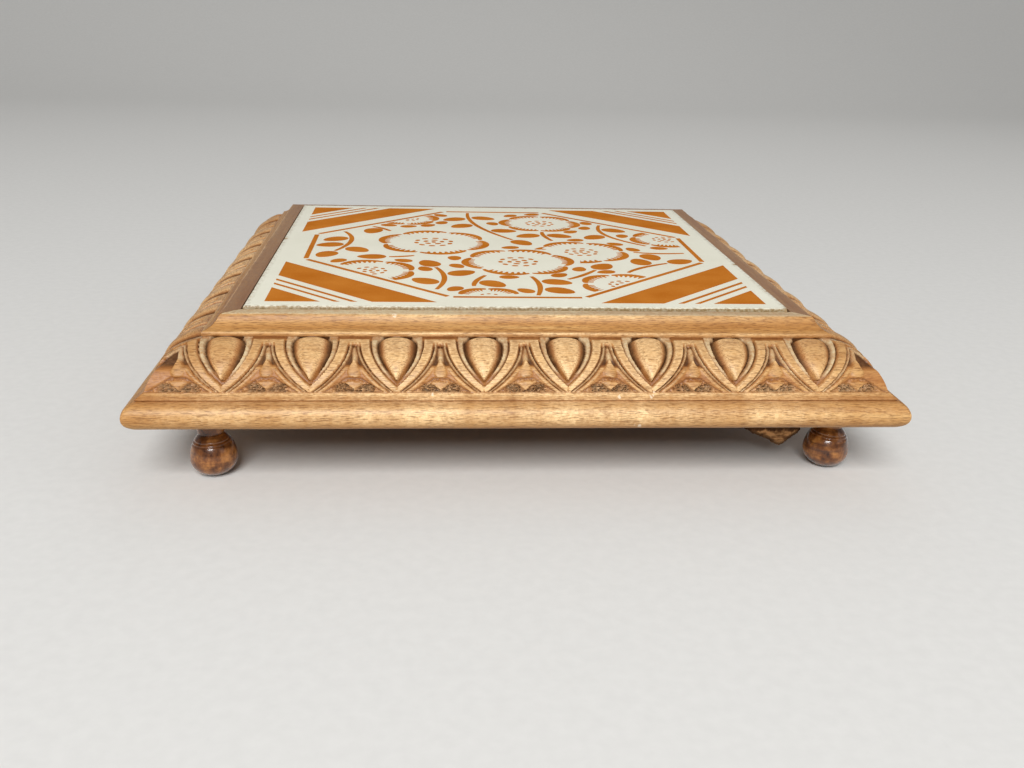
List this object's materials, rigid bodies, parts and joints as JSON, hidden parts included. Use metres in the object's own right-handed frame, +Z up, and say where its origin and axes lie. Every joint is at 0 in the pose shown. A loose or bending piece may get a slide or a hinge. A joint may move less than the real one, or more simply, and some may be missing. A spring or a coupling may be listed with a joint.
{
  "type": "trivet",
  "caption": "Square table trivet: a glazed patterned tile set in a mitred wooden frame with carved egg-and-dart moulding, raised on turned ball feet.",
  "frame": {"origin": "on the table under the middle of the trivet", "axes": "+Z up, +X to the right and -Y to the front as pictured"},
  "size_m": [0.2046, 0.2046, 0.0446],
  "materials": {
    "tile_glaze": "glossy ivory glaze with an orange-brown stencilled pattern",
    "bedding": "matt mortar",
    "board_ply": "raw plywood",
    "frame_wood": "worn satin varnish, dark stain and dust in the carving",
    "foot_wood": "mottled dark glossy varnish",
    "backing_card": "rough brown card with a torn edge",
    "nail_steel": "dull steel",
    "tack_steel": "blued steel"
  },
  "bodies": {
    "root": {"tile": "tile_glaze", "tile_bed": "bedding", "base_board": "board_ply", "backing_card": "backing_card", "front_rail": "frame_wood", "right_rail": "frame_wood", "rear_rail": "frame_wood", "left_rail": "frame_wood", "front_left_foot": "foot_wood", "front_right_foot": "foot_wood", "rear_left_foot": "foot_wood", "rear_right_foot": "foot_wood", "front_board_pin_1": "nail_steel", "front_board_pin_2": "nail_steel", "right_board_pin_1": "nail_steel", "right_board_pin_2": "nail_steel", "rear_board_pin_1": "nail_steel", "rear_board_pin_2": "nail_steel", "left_board_pin_1": "nail_steel", "left_board_pin_2": "nail_steel", "front_left_mitre_nail": "nail_steel", "front_right_mitre_nail": "nail_steel", "rear_left_mitre_nail": "nail_steel", "rear_right_mitre_nail": "nail_steel", "front_backing_tack_1": "tack_steel", "right_backing_tack_2": "tack_steel", "rear_backing_tack_1": "tack_steel", "rear_backing_tack_2": "tack_steel", "left_backing_tack_1": "tack_steel", "left_backing_tack_2": "tack_steel"}
  },
  "joints": []
}
